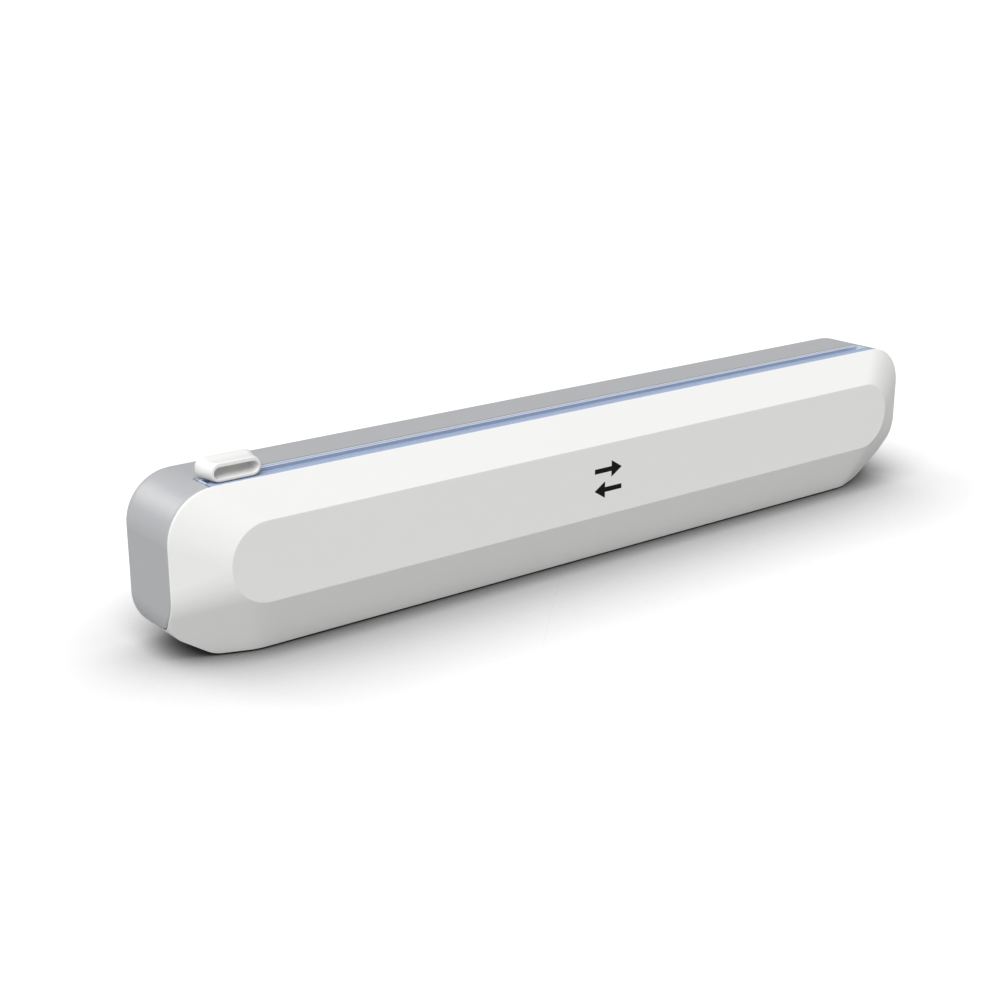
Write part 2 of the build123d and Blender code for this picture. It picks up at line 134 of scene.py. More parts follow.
class RollSettings(bpy.types.PropertyGroup):
    """Film and its tube."""
    windings: IntProperty(name="Windings", description="Edges of wound film that show on each end",
                          default=14, min=2, max=60)
    overlap: FloatProperty(name="Free edge", description="Height of the step at the film's free edge",
                           default=0.14 * MM, min=0.0, unit="LENGTH")
    film: FloatVectorProperty(name="Film", description="Colour of the wound film",
                              subtype="COLOR", default=(0.88, 0.92, 0.95))
    board: FloatVectorProperty(name="Board", description="Colour of the paper tube",
                               subtype="COLOR", default=(0.46, 0.33, 0.20))


class FittingSettings(bpy.types.PropertyGroup):
    """Screws, feet, grip strip and hub ribs."""
    strip_pitch: FloatProperty(name="Strip pitch", description="Distance between the grip strip's ribs",
                               default=2.0 * MM, min=0.0005, unit="LENGTH")
    tread_pitch: FloatProperty(name="Tread pitch", description="Distance between the ribs under a foot",
                               default=1.2 * MM, min=0.0005, unit="LENGTH")
    hub_ribs: IntProperty(name="Hub ribs", description="Ribs on each hub's flange",
                          default=10, min=3, max=40)
    thread_pitch: FloatProperty(name="Thread pitch", description="Distance between the screws' threads",
                                default=0.7 * MM, min=0.0002, unit="LENGTH")


class StudioSettings(bpy.types.PropertyGroup):
    """Camera and lights."""
    lens: FloatProperty(name="Lens", description="Focal length on a 36 mm sensor",
                        default=58.79, min=10.0)
    camera_place: FloatVectorProperty(name="Camera", description="Where the camera stands",
                                      subtype="TRANSLATION", default=(-0.4069, -0.4773, 0.225))
    camera_drop: FloatProperty(name="Downward tilt", description="How far the camera looks down",
                               default=radians(18.02), subtype="ANGLE")
    camera_turn: FloatProperty(name="Turn", description="How far the camera is turned to the right",
                               default=radians(37.96), subtype="ANGLE")
    key: FloatProperty(name="Key light", description="Strength of the wide soft light",
                       default=3.05, min=0.0)
    key_from: FloatVectorProperty(name="Key direction", description="Where the wide soft light comes from",
                                  subtype="DIRECTION", default=(-0.42, -0.39, 0.82))
    key_spread: FloatProperty(name="Key spread", description="How wide the soft light is",
                              default=radians(50.0), subtype="ANGLE")
    back: FloatProperty(name="Back light", description="Power of the low light behind the left end",
                        default=4.0, min=0.0)
    ambient: FloatProperty(name="Ambient", description="Brightness of the surroundings",
                           default=0.30, min=0.0)
    floor: FloatProperty(name="Floor", description="How pale the floor looks",
                         default=1.0, min=0.0, max=1.0, subtype="FACTOR")
    bounce: FloatProperty(name="Floor bounce", description="Share of light that the floor throws back",
                          default=0.48, min=0.0, max=1.0, subtype="FACTOR")
    # The contact shadow and its reach are painted into the floor's colour, not cast by a lamp.
    shadow: FloatProperty(name="Contact shadow", description="Strength of the shadow under the case",
                          default=1.3, min=0.0)
    shadow_reach: FloatProperty(name="Shadow reach", description="How far the contact shadow reaches",
                                default=0.07, min=0.0, unit="LENGTH")


# ---------------------------------------------------------------- fixed sizes


RAIL_EDGE = 0.2 * MM            # chamfer on the rail's upper edges and groove
RAIL_LINE = 0.35 * MM           # width of a coloured line along the rail
FRONT_LINES, REAR_LINES = 3, 2  # fine lines in front of the groove and behind it
PLAY = 0.3 * MM                 # clearance between the slide and the rail

SCOOP_STEPS, RIM_STEPS, FLARE_STEPS = 10, 6, 16
SCOOP_TAPER = 1.2 * MM          # how much narrower the recess is at its end
SCOOP_INSET = 0.3 * MM          # how far the recess's end face is drawn in
MOUTH_LIP = 0.2 * MM            # how much the recess opens at its rim
FLARE_POWER = 0.8               # how early the slide's sides spread
KEEL_HALF, KEEL_RISE, KEEL_CHAMFER = 7 * MM, 0.6 * MM, 0.25 * MM
NECK_HALF, NECK_CHAMFER = 4 * MM, 0.2 * MM

ROLL_STEPS = 128
STEP_TURN = 0.006               # turn over which the film's free edge steps down, in radians
WINDING_DIP = 0.16 * MM         # how far every other winding lies back at the film's ends
RIB_FACE = 1.6 * MM             # from the tube's end to the hub flange's outer face
RIB_NEAR, RIB_FAR, RIB_HALF = 7.0 * MM, 15.5 * MM, 0.6 * MM

# piece, CAD node, body, screws along, screws across, shank radius, head radius, head height, cone head
SCREWS = (("rail_screws", "track_screws", "case", 4, 1, 0.9 * MM, 1.8 * MM, 1.4 * MM, False),
          ("bearing_screws", "saddle_screws", "case", 2, 2, 1.25 * MM, 2.5 * MM, 1.4 * MM, True),
          ("runner_screws", "foot_screws", "slider", 2, 1, 0.6 * MM, 1.2 * MM, 0.6 * MM, True))
# piece, CAD node, body
MAGNETS = (("shell_discs", "shell_magnets", "case"), ("cover_discs", "cover_magnets", "cover"))
PIN_LENGTH, PIN_CHAMFER = 24.0 * MM, 0.25 * MM
DISC_STEPS = 40
GRIP_HEIGHT, GRIP_HALF, GRIP_SUNK = 0.45 * MM, 0.55 * MM, 0.05 * MM
GRIP_MARGIN, GRIP_INSET, GRIP_CHAMFER = 4 * MM, 0.2 * MM, 0.25 * MM
ARCH_STEPS = 6
PAD_LENGTH, PAD_WIDTH, PAD_EDGE = 22.0 * MM, 8.0 * MM, 0.3 * MM
TREAD_HEIGHT, TREAD_HALF, TREAD_MARGIN = 0.35 * MM, 0.3 * MM, 1 * MM
TREAD_SUNK, TREAD_CHAMFER = 0.1 * MM, 0.08 * MM

FLOOR_HALF = 40.0
BACK_PLACE, BACK_AIM, BACK_SIZE = (-0.65, 1.35, 0.65), (-0.15, 0, 0.04), 0.6
SENSOR_WIDTH, CLIP_START = 36.0, 0.01


# ---------------------------------------------------------------- shader groups


def new_group(name, inputs, outputs):
    """Empty shader group with named sockets. Each input is (name, kind, default)."""
    group = bpy.data.node_groups.new(name, "ShaderNodeTree")
    for label, kind, default in inputs:
        socket = group.interface.new_socket(label, in_out="INPUT", socket_type=f"NodeSocket{kind}")
        socket.default_value = default
    for label, kind in outputs:
        group.interface.new_socket(label, in_out="OUTPUT", socket_type=f"NodeSocket{kind}")
    return group, group.nodes.new("NodeGroupInput"), group.nodes.new("NodeGroupOutput")


def node(tree, kind, links=None, **values):
    """Adds a shader node, sets its properties and joins its inputs."""
    made = tree.nodes.new(f"ShaderNode{kind}")
    for key, value in values.items():
        setattr(made, key, value)
    for socket, source in (links or {}).items():
        if isinstance(source, bpy.types.NodeSocket):
            tree.links.new(source, made.inputs[socket])
        else:
            made.inputs[socket].default_value = source
    return made


def swing_with(group, given, result, pattern, gloss_swing, height):
    """Ends a group: a pattern makes the colour and the gloss swing a little, and a height goes out."""
    swing = node(group, "Math", {0: pattern, 1: 0.5}, operation="SUBTRACT")
    shade = node(group, "Math", {0: swing.outputs[0], 1: given.outputs["Tone"], 2: 1.0},
                 operation="MULTIPLY_ADD")
    tinted = node(group, "VectorMath", {0: given.outputs["Colour"], "Scale": shade.outputs[0]},
                  operation="SCALE")
    gloss = node(group, "Math", {0: swing.outputs[0], 1: gloss_swing, 2: given.outputs["Roughness"]},
                 operation="MULTIPLY_ADD")
    group.links.new(tinted.outputs[0], result.inputs["Colour"])
    group.links.new(gloss.outputs[0], result.inputs["Roughness"])
    group.links.new(height, result.inputs["Height"])


def moulded_grain():
    """Fine spark-eroded grain, with slow changes of tone and gloss over it."""
    known = bpy.data.node_groups.get("Moulded grain")
    if known:
        return known
    group, given, result = new_group(
        "Moulded grain",
        [("Size", "Float", 0.0003), ("Tone", "Float", 0.02), ("Roughness", "Float", 0.4),
         ("Colour", "Color", (0.8, 0.8, 0.8, 1.0))],
        [("Colour", "Color"), ("Roughness", "Float"), ("Height", "Float")])
    place = node(group, "TexCoord").outputs["Object"]
    scale = node(group, "Math", {0: 1.0, 1: given.outputs["Size"]}, operation="DIVIDE")
    grain = node(group, "TexNoise", {"Vector": place, "Scale": scale.outputs[0], "Detail": 3.0,
                                     "Roughness": 0.6})
    pits = node(group, "TexVoronoi", {"Vector": place, "Scale": scale.outputs[0]})
    height = node(group, "Math", {0: pits.outputs["Distance"], 1: 0.35, 2: grain.outputs["Fac"]},
                  operation="MULTIPLY_ADD")
    clouds = node(group, "TexNoise", {"Vector": place, "Scale": 22.0, "Detail": 4.0, "Roughness": 0.55})
    swing_with(group, given, result, clouds.outputs["Fac"], 0.10, height.outputs[0])
    return group


def streaks():
    """Fine lines along one axis, as on drawn rail, wound film and brushed steel."""
    known = bpy.data.node_groups.get("Streaks")
    if known:
        return known
    group, given, result = new_group(
        "Streaks",
        [("Stretch", "Vector", (1.0, 1.0, 1.0)), ("Tone", "Float", 0.05), ("Roughness", "Float", 0.3),
         ("Colour", "Color", (0.8, 0.8, 0.8, 1.0))],
        [("Colour", "Color"), ("Roughness", "Float"), ("Height", "Float")])
    place = node(group, "TexCoord").outputs["Object"]
    spread = node(group, "VectorMath", {0: place, 1: given.outputs["Stretch"]}, operation="MULTIPLY")
    lines = node(group, "TexNoise", {"Vector": spread.outputs[0], "Scale": 1.0, "Detail": 5.0,
                                     "Roughness": 0.65})
    swing_with(group, given, result, lines.outputs["Fac"], 0.25, lines.outputs["Fac"])
    return group


# ---------------------------------------------------------------- shapes


def skin(rings, loop=False, sharp=radians(35.0)):
    """Mesh through rings of as many points each, capped at both ends unless it closes on itself."""
    shell = bmesh.new()
    rows_of = [[shell.verts.new(point) for point in ring] for ring in rings]
    pairs = list(zip(rows_of, rows_of[1:])) + ([(rows_of[-1], rows_of[0])] if loop else [])
    for near, far in pairs:
        for index in range(len(near)):
            shell.faces.new((near[index - 1], near[index], far[index], far[index - 1]))
    if not loop:
        shell.faces.new(rows_of[0])
        shell.faces.new(rows_of[-1])
    bmesh.ops.recalc_face_normals(shell, faces=shell.faces)
    mesh = bpy.data.meshes.new("shape")
    shell.to_mesh(mesh)
    shell.free()
    mesh.shade_smooth()
    mesh.set_sharp_from_angle(angle=sharp)
    return mesh


def joined(*meshes):
    """One mesh with the faces of several."""
    whole = bmesh.new()
    for mesh in meshes:
        whole.from_mesh(mesh)
    mesh = bpy.data.meshes.new("joined")
    whole.to_mesh(mesh)
    whole.free()
    return mesh


def wheel(x, radius, centre, steps=64, fall=0.0):
    """Circle across the case; with a fall, its radius shrinks over the turn and ends in a step."""
    y, z = centre
    turns = [2 * pi * index / steps for index in range(steps)]
    if fall:
        turns = [2 * pi * index / (steps - 1) for index in range(steps - 1)] + [2 * pi - STEP_TURN]
    points = []
    for turn in turns:
        reach = radius - fall * turn / (2 * pi)
        points.append((x, y + reach * cos(turn), z + reach * sin(turn)))
    return points


def disc(z, radius, turns):
    """Flat circle at a height, through the given turns."""
    return [(radius * cos(turn), radius * sin(turn), z) for turn in turns]


def rounded(width, height, radius, place, steps=8):
    """Upright rectangle with rounded corners that faces the front."""
    x, y, z = place
    radius = min(radius, height / 2 - 0.01 * MM)
    across, up = width / 2 - radius, height / 2 - radius
    points = []
    for start, side, rise in ((-pi / 2, 1, -1), (0.0, 1, 1), (pi / 2, -1, 1), (pi, -1, -1)):
        for index in range(steps + 1):
            turn = start + pi / 2 * index / steps
            points.append((x + side * across + radius * cos(turn), y, z + rise * up + radius * sin(turn)))
    return points


def bar(low, high, chamfer):
    """Box with its upright and top edges taken off; it stands on its low face."""
    def outline(inset, z):
        x0, y0, x1, y1 = low[0] + inset, low[1] + inset, high[0] - inset, high[1] - inset
        c = chamfer
        return [(x0 + c, y0, z), (x1 - c, y0, z), (x1, y0 + c, z), (x1, y1 - c, z),
                (x1 - c, y1, z), (x0 + c, y1, z), (x0, y1 - c, z), (x0, y0 + c, z)]
    return skin([outline(0, low[2]), outline(0, high[2] - chamfer), outline(chamfer * 0.6, high[2])])


def cross_radius(turn, arm, half):
    """Distance from the middle to the edge of a cross-shaped recess."""
    folded = abs((turn + pi / 4) % (pi / 2) - pi / 4)
    return arm / cos(folded) if tan(folded) <= half / arm + 1e-6 else half / sin(folded)


def screw(shank, head, head_height, length, cone, pitch):
    """Screw with a cross recess, its head down at the origin and its thread upwards."""
    arm, half = head * 0.58, head * 0.16
    corner = atan2(half, arm)
    quarter = [-corner, 0.0, corner, (corner + pi / 4) / 2, pi / 4, pi / 2 - (corner + pi / 4) / 2]
    turns = [turn + side * pi / 2 for side in range(4) for turn in quarter]
    cross = [(cross_radius(turn, arm, half), turn) for turn in turns]
    recess = [[(reach * size * cos(turn), reach * size * sin(turn), z) for reach, turn in cross]
              for size, z in ((0.62, head_height * 0.6), (1.0, 0.0))]
    edge = head_height * 0.12
    rings = recess + [disc(0.0, head - edge, turns), disc(edge, head, turns)]
    if not cone:
        rings += [disc(head_height, head, turns)]
    rings += [disc(head_height, shank * 0.86, turns)]
    for index in range(int((length - head_height) / pitch) - 1):
        z = head_height + index * pitch
        rings += [disc(z + pitch * 0.35, shank * 0.84, turns), disc(z + pitch * 0.65, shank, turns),
                  disc(z + pitch, shank * 0.84, turns)]
    rings += [disc(length, shank * 0.5, turns)]
    return skin(rings)


# ---------------------------------------------------------------- copies by nodes


def new_tree(name, inputs):
    """Empty geometry tree with named inputs. Each input is (name, kind)."""
    tree = bpy.data.node_groups.new(name, "GeometryNodeTree")
    for label, kind in inputs:
        tree.interface.new_socket(label, in_out="INPUT", socket_type=f"NodeSocket{kind}")
    tree.interface.new_socket("Geometry", in_out="OUTPUT", socket_type="NodeSocketGeometry")
    return tree, tree.nodes.new("NodeGroupInput"), tree.nodes.new("NodeGroupOutput")


def rows_tree():
    """Geometry nodes that set copies of a shape in rows along X and Y, centred on a place."""
    known = bpy.data.node_groups.get("Copies in rows")
    if known:
        return known
    tree, given, result = new_tree(
        "Copies in rows",
        (("Shape", "Geometry"), ("Along", "Int"), ("Along step", "Float"), ("Across", "Int"),
         ("Across step", "Float"), ("Place", "Vector"), ("Material", "Material")))
    starts, steps = [], []
    for label in ("Along", "Across"):
        step = given.outputs[f"{label} step"]
        gaps = node(tree, "Math", {0: given.outputs[label], 1: 1.0}, operation="SUBTRACT")
        reach = node(tree, "Math", {0: gaps.outputs[0], 1: step}, operation="MULTIPLY")
        starts.append(node(tree, "Math", {0: reach.outputs[0], 1: -0.5}, operation="MULTIPLY").outputs[0])
        steps.append(step)
    start = node(tree, "CombineXYZ", {"X": starts[0], "Y": starts[1]})
    corner = node(tree, "VectorMath", {0: start.outputs[0], 1: given.outputs["Place"]}, operation="ADD")
    shape = given.outputs["Shape"]
    for label, axis, step in (("Along", "X", steps[0]), ("Across", "Y", steps[1])):
        line = tree.nodes.new("GeometryNodeMeshLine")
        line.mode = "OFFSET"
        tree.links.new(given.outputs[label], line.inputs["Count"])
        tree.links.new(node(tree, "CombineXYZ", {axis: step}).outputs[0], line.inputs["Offset"])
        if label == "Across":
            tree.links.new(corner.outputs[0], line.inputs["Start Location"])
        copies = tree.nodes.new("GeometryNodeInstanceOnPoints")
        tree.links.new(line.outputs["Mesh"], copies.inputs["Points"])
        tree.links.new(shape, copies.inputs["Instance"])
        shape = copies.outputs["Instances"]
    finish_copies(tree, shape, given, result)
    return tree


def ring_tree():
    """Geometry nodes that set copies of a shape round an axis along X."""
    known = bpy.data.node_groups.get("Copies in a ring")
    if known:
        return known
    tree, given, result = new_tree(
        "Copies in a ring",
        (("Shape", "Geometry"), ("Count", "Int"), ("Place", "Vector"), ("Material", "Material")))
    line = tree.nodes.new("GeometryNodeMeshLine")
    line.mode = "OFFSET"
    line.inputs["Offset"].default_value = (0.0, 0.0, 0.0)
    tree.links.new(given.outputs["Count"], line.inputs["Count"])
    tree.links.new(given.outputs["Place"], line.inputs["Start Location"])
    step = node(tree, "Math", {0: 2 * pi, 1: given.outputs["Count"]}, operation="DIVIDE")
    index = tree.nodes.new("GeometryNodeInputIndex")
    turn = node(tree, "Math", {0: index.outputs[0], 1: step.outputs[0]}, operation="MULTIPLY")
    turned = node(tree, "CombineXYZ", {"X": turn.outputs[0]})
    copies = tree.nodes.new("GeometryNodeInstanceOnPoints")
    tree.links.new(line.outputs["Mesh"], copies.inputs["Points"])
    tree.links.new(given.outputs["Shape"], copies.inputs["Instance"])
    tree.links.new(turned.outputs[0], copies.inputs["Rotation"])
    finish_copies(tree, copies.outputs["Instances"], given, result)
    return tree


def placed(name, data):
    """New object with that data, in the scene."""
    made = bpy.data.objects.new(name, data)
    bpy.context.scene.collection.objects.link(made)
    return made


def finish_copies(tree, shape, given, result):
    """Ends a tree: the copies become one mesh with its material."""
    real = tree.nodes.new("GeometryNodeRealizeInstances")
    painted = tree.nodes.new("GeometryNodeSetMaterial")
    tree.links.new(shape, real.inputs[0])
    tree.links.new(real.outputs[0], painted.inputs["Geometry"])
    tree.links.new(given.outputs["Material"], painted.inputs["Material"])
    tree.links.new(painted.outputs[0], result.inputs["Geometry"])


def copies(tree, shape, material, **values):
    """Runs a tree on a shape and returns the plain mesh."""
    holder = placed("copies", shape)
    modifier = holder.modifiers.new("copies", "NODES")
    modifier.node_group = tree
    values = {label.replace("_", " "): value for label, value in values.items()}
    values["Material"] = material
    for item in tree.interface.items_tree:
        if item.in_out == "INPUT" and item.name in values:
            modifier[item.identifier] = values[item.name]
    graph = bpy.context.evaluated_depsgraph_get()
    mesh = bpy.data.meshes.new_from_object(holder.evaluated_get(graph), depsgraph=graph)
    bpy.data.objects.remove(holder)
    return mesh


def row(shape, material, count, step, place):
    """Copies of a shape in one row along X, centred on a place."""
    return copies(rows_tree(), shape, material, Along=count, Along_step=step, Across=1,
                  Across_step=0.0, Place=place)


def piece(name, mesh, material, body, slot, *nodes):
    """Puts a finished mesh in the scene as a piece of that body, in place of CAD nodes."""
    made = placed(name, mesh)
    mesh.name = name
    mesh.materials.clear()
    mesh.materials.append(material)
    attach(made, body)
    if nodes:
        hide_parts(*nodes)
    return made


# ---------------------------------------------------------------- finishes


def finish_with(name, group, values, bump, reach, **plain):
    """Material whose colour, gloss and bump come from a shader group; plain values go on the shader."""
    known = bpy.data.materials.get(name)
    if known:
        return known
    material = bpy.data.materials.new(name)
    material.use_nodes = True
    tree = material.node_tree
    shader = tree.nodes["Principled BSDF"]
    effect = node(tree, "Group", node_tree=group)
    for label, value in values.items():
        effect.inputs[label].default_value = value
    relief = node(tree, "Bump", {"Strength": bump, "Distance": reach, "Height": effect.outputs["Height"]})
    tree.links.new(effect.outputs["Colour"], shader.inputs["Base Color"])
    tree.links.new(effect.outputs["Roughness"], shader.inputs["Roughness"])
    tree.links.new(relief.outputs["Normal"], shader.inputs["Normal"])
    for label, value in plain.items():
        shader.inputs[label.replace("_", " ")].default_value = value
    return material


def rgba(colour):
    return (*colour, 1.0)


def white_plastic():
    case = bpy.context.scene.dispenser_case
    return finish_with("White moulded plastic", moulded_grain(),
                       {"Size": case.grain, "Tone": 0.015, "Roughness": case.roughness,
                        "Colour": rgba(case.white)}, bump=0.10, reach=0.00005, IOR=1.5)


def grey_plastic():
    case = bpy.context.scene.dispenser_case
    return finish_with("Grey moulded plastic", moulded_grain(),
                       {"Size": case.grain, "Tone": 0.03, "Roughness": case.roughness - 0.04,
                        "Colour": rgba(case.grey)}, bump=0.12, reach=0.00005, IOR=1.5)


def black_inlay():
    case = bpy.context.scene.dispenser_case
    return finish_with("Black inlay", moulded_grain(),
                       {"Size": case.grain, "Tone": 0.2, "Roughness": 0.5, "Colour": rgba(case.mark)},
                       bump=0.1, reach=0.00004, Specular_IOR_Level=0.12)


def blue_rail():
    """Translucent rail: blue in the groove, painted lighter than the tops to offset its shade, a middle
    blue on its two flat tops, and light lines painted as highlights along its edges.
    """
    track = bpy.context.scene.dispenser_track
    known = bpy.data.materials.get("Blue translucent rail")
    if known:
        return known
    low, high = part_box("cutter_track")
    slot_y = middle("slider_foot").y
    half = track.groove_width / 2
    material = finish_with("Blue translucent rail", streaks(),
                           {"Stretch": (15.0, 2500.0, 2500.0), "Tone": 0.22, "Roughness": 0.16,
                            "Colour": rgba(track.blue)},
                           bump=0.15, reach=0.00005, IOR=1.49, Transmission_Weight=0.12)
    tree = material.node_tree
    effect = next(n for n in tree.nodes if n.type == "GROUP")
    place = node(tree, "TexCoord").outputs["Object"]
    across = node(tree, "SeparateXYZ", {0: place}).outputs["Y"]
    depth = node(tree, "MapRange", {"Value": across, "From Min": low.y, "From Max": high.y})
    ramp = node(tree, "ValToRGB", {"Fac": depth.outputs[0]})
    ramp.color_ramp.interpolation = "CONSTANT"
    ramp.color_ramp.elements.remove(ramp.color_ramp.elements[1])
    blue, middling, light = rgba(track.blue), rgba(track.middling), rgba(track.light)
    front, rear = slot_y - half, slot_y + half
    line = RAIL_LINE
    inner_line = low.y + 0.45 * (front - low.y)
    # Painted light in the bands: the light lines are painted highlights along the rail's edges and the
    # groove's edges, with one more along the front top, and the groove's blue is painted lighter than the
    # tops to offset its shade.
    tint_and_highlight_bands = ((low.y, blue), (low.y + line, light), (low.y + 2 * line, middling),
             (inner_line, light), (inner_line + line, middling),
             (front - line, light), (front, blue), (rear, light), (rear + line, middling),
             (high.y - 2 * line, light))
    for index, (start, colour) in enumerate(tint_and_highlight_bands):
        spot = (start - low.y) / (high.y - low.y)
        stop = ramp.color_ramp.elements.new(spot) if index else ramp.color_ramp.elements[0]
        stop.position = spot
        stop.color = colour
    tree.links.new(ramp.outputs["Color"], effect.inputs["Colour"])
    return material


def pale_acetal():
    track = bpy.context.scene.dispenser_track
    return finish_with("Pale blue acetal", moulded_grain(),
                       {"Size": 0.0004, "Tone": 0.06, "Roughness": 0.28, "Colour": rgba(track.pale)},
                       bump=0.08, reach=0.00004)


def steel():
    return finish_with("Brushed steel", streaks(),
                       {"Stretch": (300.0, 6000.0, 6000.0), "Tone": 0.25, "Roughness": 0.30,
                        "Colour": (0.60, 0.60, 0.62, 1.0)}, bump=0.2, reach=0.00003, Metallic=1.0)


def nickel():
    return finish_with("Nickel plate", moulded_grain(),
                       {"Size": 0.0002, "Tone": 0.08, "Roughness": 0.22, "Colour": (0.66, 0.65, 0.62, 1.0)},
                       bump=0.05, reach=0.00002, Metallic=1.0)


def rubber():
    return finish_with("Soft rubber", moulded_grain(),
                       {"Size": 0.0005, "Tone": 0.25, "Roughness": 0.75,
                        "Colour": (0.035, 0.035, 0.036, 1.0)}, bump=0.4, reach=0.0001)


def silicone():
    return finish_with("Grip silicone", moulded_grain(),
                       {"Size": 0.0006, "Tone": 0.08, "Roughness": 0.6, "Colour": (0.62, 0.63, 0.64, 1.0)},
                       bump=0.3, reach=0.0001)


def paper_board():
    roll = bpy.context.scene.dispenser_roll
    return finish_with("Paper board", moulded_grain(),
                       {"Size": 0.0008, "Tone": 0.25, "Roughness": 0.85, "Colour": rgba(roll.board)},
                       bump=0.4, reach=0.0001)


def wound_film():
    roll = bpy.context.scene.dispenser_roll
    return finish_with("Wound film", streaks(),
                       {"Stretch": (900.0, 12.0, 12.0), "Tone": 0.12, "Roughness": 0.14,
                        "Colour": rgba(roll.film)},
                       bump=0.15, reach=0.0001, Coat_Weight=0.6, Coat_Roughness=0.06)


def floor_paint():
    """Pale floor that is greyer to the light it throws back, with a painted contact shadow that darkens it
    softly under the case.
    """
    studio = bpy.context.scene.dispenser_studio
    pale = (studio.floor, studio.floor, studio.floor, 1.0)
    material = finish_with("Pale floor", moulded_grain(),
                           {"Size": 0.004, "Tone": 0.01, "Roughness": 0.8, "Colour": pale},
                           bump=0.02, reach=0.0001, Specular_IOR_Level=0.1)
    tree = material.node_tree
    shader = tree.nodes["Principled BSDF"]
    paint = shader.inputs["Base Color"].links[0].from_socket
    # Painted contact shadow: ambient occlusion darkens the floor's colour under and round the case.
    corners = node(tree, "AmbientOcclusion", {"Distance": studio.shadow_reach})
    corners.samples = 16
    depth = node(tree, "Math", {0: corners.outputs["AO"], 1: studio.shadow}, operation="POWER")
    painted_shadow_colour = node(tree, "VectorMath", {0: paint, "Scale": depth.outputs[0]}, operation="SCALE")
    thrown = (studio.bounce, studio.bounce, studio.bounce)
    seen = node(tree, "Mix", data_type="VECTOR")
    tree.links.new(node(tree, "LightPath").outputs["Is Camera Ray"], seen.inputs[0])
    seen.inputs[4].default_value = thrown
    tree.links.new(painted_shadow_colour.outputs[0], seen.inputs[5])
    tree.links.new(seen.outputs[1], shader.inputs["Base Color"])
    return material


def dress(name, material):
    """Gives a CAD node its finish."""
    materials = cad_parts[name].data.materials
    materials.clear()
    materials.append(material)


# ---------------------------------------------------------------- operators


def middle(name):
    """Centre of a CAD node's box."""
    low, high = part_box(name)
    return (low + high) / 2


class DISPENSER_OT_case(bpy.types.Operator):
    """Finishes the front shell, the rear cover, the mark and the bearings"""
    bl_idname = "dispenser.case"
    bl_label = "Case"

    def execute(self, context):
        for name, material in (("front_shell", white_plastic()), ("rear_cover", grey_plastic()),
                               ("front_mark", black_inlay()), ("saddle_left", white_plastic()),
                               ("saddle_right", white_plastic())):
            dress(name, material)
        return {"FINISHED"}


class DISPENSER_OT_track(bpy.types.Operator):
    """Makes the rail with its groove, slot and fine lines, and finishes the stops"""
    bl_idname = "dispenser.track"
    bl_label = "Track"

    def execute(self, context):
        track = context.scene.dispenser_track
        low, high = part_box("cutter_track")
        slot_y = middle("slider_foot").y
        groove_low = high.z - track.groove_depth
        chamber_low = low.z + track.chamber_base
        chamber_high = chamber_low + track.chamber_height
        edge = RAIL_EDGE

        def lines(first, last, count):
            gap = (last - first) / (count + 1)
            points = []
            for index in range(count):
                y = first + gap * (index + 1)
                points += [(y - track.line_depth, high.z), (y, high.z - track.line_depth),
                           (y + track.line_depth, high.z)]
            return points

        def half_groove(side):
            return [(slot_y + side * (track.groove_width / 2 + edge), high.z),
                    (slot_y + side * track.groove_width / 2, high.z - edge),
                    (slot_y + side * track.groove_width / 2, groove_low),
                    (slot_y + side * (track.slot_width / 2 + edge), groove_low),
                    (slot_y + side * track.slot_width / 2, groove_low - edge),
                    (slot_y + side * track.slot_width / 2, chamber_high),
                    (slot_y + side * track.chamber_width / 2, chamber_high),
                    (slot_y + side * track.chamber_width / 2, chamber_low)]

        front, rear = slot_y - track.groove_width / 2, slot_y + track.groove_width / 2
        profile = ([(low.y, low.z), (low.y, high.z - edge), (low.y + edge, high.z)]
                   + lines(low.y, front, FRONT_LINES) + half_groove(-1) + half_groove(1)[::-1]
                   + lines(rear, high.y, REAR_LINES)
                   + [(high.y - edge, high.z), (high.y, high.z - edge), (high.y, low.z)])
        mesh = skin([[(x, y, z) for y, z in profile] for x in (low.x, high.x)], sharp=radians(20.0))
        piece("rail", mesh, blue_rail(), "case", "blue_rail", "cutter_track")
        for name in ("track_stop_left", "track_stop_right"):
            dress(name, pale_acetal())
        return {"FINISHED"}


